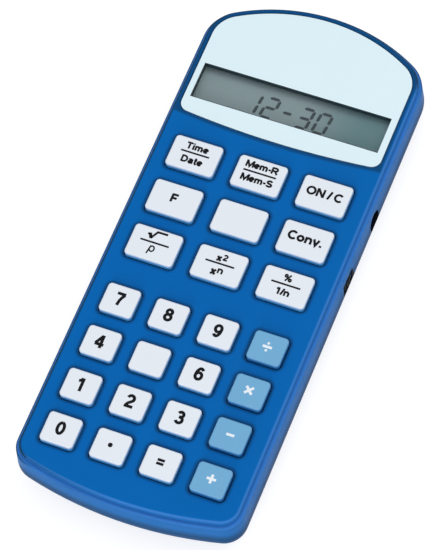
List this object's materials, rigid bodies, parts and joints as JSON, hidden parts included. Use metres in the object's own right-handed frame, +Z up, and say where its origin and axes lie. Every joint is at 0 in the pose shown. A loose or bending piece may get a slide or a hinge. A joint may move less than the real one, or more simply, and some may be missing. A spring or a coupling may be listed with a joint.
{
  "type": "talking calculator",
  "caption": "Slim blue desk calculator that speaks its keys, with pale and light blue key caps, a display window in a pale panel, a volume wheel and an earphone socket.",
  "frame": {"origin": "on the table, under the middle of the case", "axes": "+X across the case to the side with the controls, +Y along it to the display, +Z up out of the keys"},
  "size_m": [0.07, 0.1706, 0.0218],
  "materials": {
    "case_blue": "satin moulded plastic, strong blue",
    "panel_pale": "pale printed plate, smooth",
    "dark_plastic": "moulded plastic, near black",
    "window_clear": "clear plastic lens",
    "lcd_glass": "grey-green liquid crystal glass, modelled opaque",
    "ribbon_film": "flexible film",
    "board_green": "green circuit board",
    "mat_rubber": "grey silicone rubber",
    "key_pale": "smooth pale plastic",
    "key_operator": "smooth light blue plastic",
    "chip_black": "black epoxy",
    "can_metal": "drawn metal can",
    "speaker_steel": "plated steel",
    "cone_paper": "dark film cone",
    "gasket_foam": "black foam",
    "wire_red": "red insulated wire",
    "cell_wrap": "plain grey cell sleeve",
    "contact_nickel": "nickel-plated spring steel",
    "screw_steel": "zinc-plated screws",
    "foot_rubber": "black rubber"
  },
  "bodies": {
    "case": {"top_cover": "case_blue", "rear_cover": "case_blue", "display_panel": "panel_pale", "display_bezel": "dark_plastic", "display_window": "window_clear", "lcd_panel": "lcd_glass", "lcd_ribbon": "ribbon_film", "lcd_holder": "dark_plastic", "holder_screws": "screw_steel", "circuit_board": "board_green", "board_screws": "screw_steel", "key_mat": "mat_rubber", "speech_chip": "chip_black", "controller_chip": "chip_black", "crystal": "can_metal", "capacitors": "can_metal", "speaker_frame": "speaker_steel", "speaker_cone": "cone_paper", "speaker_magnet": "speaker_steel", "speaker_gasket": "gasket_foam", "speaker_clamp": "dark_plastic", "speaker_screws": "screw_steel", "speaker_wires": "wire_red", "battery_1": "cell_wrap", "battery_2": "cell_wrap", "contact_positive": "contact_nickel", "contact_negative": "contact_nickel", "contact_link": "contact_nickel", "volume_pot": "dark_plastic", "earphone_jack": "dark_plastic", "case_screws": "screw_steel", "feet": "foot_rubber"},
    "body_key_0": {"key_0": "key_pale"},
    "body_key_point": {"key_point": "key_pale"},
    "body_key_equals": {"key_equals": "key_pale"},
    "body_key_add": {"key_add": "key_operator"},
    "body_key_1": {"key_1": "key_pale"},
    "body_key_2": {"key_2": "key_pale"},
    "body_key_3": {"key_3": "key_pale"},
    "body_key_subtract": {"key_subtract": "key_operator"},
    "body_key_4": {"key_4": "key_pale"},
    "body_key_5": {"key_5": "key_pale"},
    "body_key_6": {"key_6": "key_pale"},
    "body_key_multiply": {"key_multiply": "key_operator"},
    "body_key_7": {"key_7": "key_pale"},
    "body_key_8": {"key_8": "key_pale"},
    "body_key_9": {"key_9": "key_pale"},
    "body_key_divide": {"key_divide": "key_operator"},
    "body_key_root": {"key_root": "key_pale"},
    "body_key_power": {"key_power": "key_pale"},
    "body_key_percent": {"key_percent": "key_pale"},
    "body_key_function": {"key_function": "key_pale"},
    "body_key_blank": {"key_blank": "key_pale"},
    "body_key_convert": {"key_convert": "key_pale"},
    "body_key_time": {"key_time": "key_pale"},
    "body_key_memory": {"key_memory": "key_pale"},
    "body_key_on_clear": {"key_on_clear": "key_pale"},
    "door": {"battery_door": "case_blue"},
    "wheel": {"volume_wheel": "dark_plastic", "wheel_screw": "screw_steel"}
  },
  "joints": [
    {"name": "press_0", "type": "slide", "parent": "case", "child": "body_key_0", "axis": [0, 0, -1], "range_m": [0, 0.0008], "stiffness_N_per_m": 1000, "springref_m": -0.0003},
    {"name": "press_point", "type": "slide", "parent": "case", "child": "body_key_point", "axis": [0, 0, -1], "range_m": [0, 0.0008], "stiffness_N_per_m": 1000, "springref_m": -0.0003},
    {"name": "press_equals", "type": "slide", "parent": "case", "child": "body_key_equals", "axis": [0, 0, -1], "range_m": [0, 0.0008], "stiffness_N_per_m": 1000, "springref_m": -0.0003},
    {"name": "press_add", "type": "slide", "parent": "case", "child": "body_key_add", "axis": [0, 0, -1], "range_m": [0, 0.0008], "stiffness_N_per_m": 1000, "springref_m": -0.0003},
    {"name": "press_1", "type": "slide", "parent": "case", "child": "body_key_1", "axis": [0, 0, -1], "range_m": [0, 0.0008], "stiffness_N_per_m": 1000, "springref_m": -0.0003},
    {"name": "press_2", "type": "slide", "parent": "case", "child": "body_key_2", "axis": [0, 0, -1], "range_m": [0, 0.0008], "stiffness_N_per_m": 1000, "springref_m": -0.0003},
    {"name": "press_3", "type": "slide", "parent": "case", "child": "body_key_3", "axis": [0, 0, -1], "range_m": [0, 0.0008], "stiffness_N_per_m": 1000, "springref_m": -0.0003},
    {"name": "press_subtract", "type": "slide", "parent": "case", "child": "body_key_subtract", "axis": [0, 0, -1], "range_m": [0, 0.0008], "stiffness_N_per_m": 1000, "springref_m": -0.0003},
    {"name": "press_4", "type": "slide", "parent": "case", "child": "body_key_4", "axis": [0, 0, -1], "range_m": [0, 0.0008], "stiffness_N_per_m": 1000, "springref_m": -0.0003},
    {"name": "press_5", "type": "slide", "parent": "case", "child": "body_key_5", "axis": [0, 0, -1], "range_m": [0, 0.0008], "stiffness_N_per_m": 1000, "springref_m": -0.0003},
    {"name": "press_6", "type": "slide", "parent": "case", "child": "body_key_6", "axis": [0, 0, -1], "range_m": [0, 0.0008], "stiffness_N_per_m": 1000, "springref_m": -0.0003},
    {"name": "press_multiply", "type": "slide", "parent": "case", "child": "body_key_multiply", "axis": [0, 0, -1], "range_m": [0, 0.0008], "stiffness_N_per_m": 1000, "springref_m": -0.0003},
    {"name": "press_7", "type": "slide", "parent": "case", "child": "body_key_7", "axis": [0, 0, -1], "range_m": [0, 0.0008], "stiffness_N_per_m": 1000, "springref_m": -0.0003},
    {"name": "press_8", "type": "slide", "parent": "case", "child": "body_key_8", "axis": [0, 0, -1], "range_m": [0, 0.0008], "stiffness_N_per_m": 1000, "springref_m": -0.0003},
    {"name": "press_9", "type": "slide", "parent": "case", "child": "body_key_9", "axis": [0, 0, -1], "range_m": [0, 0.0008], "stiffness_N_per_m": 1000, "springref_m": -0.0003},
    {"name": "press_divide", "type": "slide", "parent": "case", "child": "body_key_divide", "axis": [0, 0, -1], "range_m": [0, 0.0008], "stiffness_N_per_m": 1000, "springref_m": -0.0003},
    {"name": "press_root", "type": "slide", "parent": "case", "child": "body_key_root", "axis": [0, 0, -1], "range_m": [0, 0.0008], "stiffness_N_per_m": 1000, "springref_m": -0.0003},
    {"name": "press_power", "type": "slide", "parent": "case", "child": "body_key_power", "axis": [0, 0, -1], "range_m": [0, 0.0008], "stiffness_N_per_m": 1000, "springref_m": -0.0003},
    {"name": "press_percent", "type": "slide", "parent": "case", "child": "body_key_percent", "axis": [0, 0, -1], "range_m": [0, 0.0008], "stiffness_N_per_m": 1000, "springref_m": -0.0003},
    {"name": "press_function", "type": "slide", "parent": "case", "child": "body_key_function", "axis": [0, 0, -1], "range_m": [0, 0.0008], "stiffness_N_per_m": 1000, "springref_m": -0.0003},
    {"name": "press_blank", "type": "slide", "parent": "case", "child": "body_key_blank", "axis": [0, 0, -1], "range_m": [0, 0.0008], "stiffness_N_per_m": 1000, "springref_m": -0.0003},
    {"name": "press_convert", "type": "slide", "parent": "case", "child": "body_key_convert", "axis": [0, 0, -1], "range_m": [0, 0.0008], "stiffness_N_per_m": 1000, "springref_m": -0.0003},
    {"name": "press_time", "type": "slide", "parent": "case", "child": "body_key_time", "axis": [0, 0, -1], "range_m": [0, 0.0008], "stiffness_N_per_m": 1000, "springref_m": -0.0003},
    {"name": "press_memory", "type": "slide", "parent": "case", "child": "body_key_memory", "axis": [0, 0, -1], "range_m": [0, 0.0008], "stiffness_N_per_m": 1000, "springref_m": -0.0003},
    {"name": "press_on_clear", "type": "slide", "parent": "case", "child": "body_key_on_clear", "axis": [0, 0, -1], "range_m": [0, 0.0008], "stiffness_N_per_m": 1000, "springref_m": -0.0003},
    {"name": "door_slide", "type": "slide", "parent": "case", "child": "door", "axis": [0, -1, 0], "range_m": [0, 0.056]},
    {"name": "volume_turn", "type": "hinge", "parent": "case", "child": "wheel", "pos_m": [0.0269, 0.00565, 0.0117], "axis": [0, 0, 1], "range_deg": [-135, 135]}
  ]
}
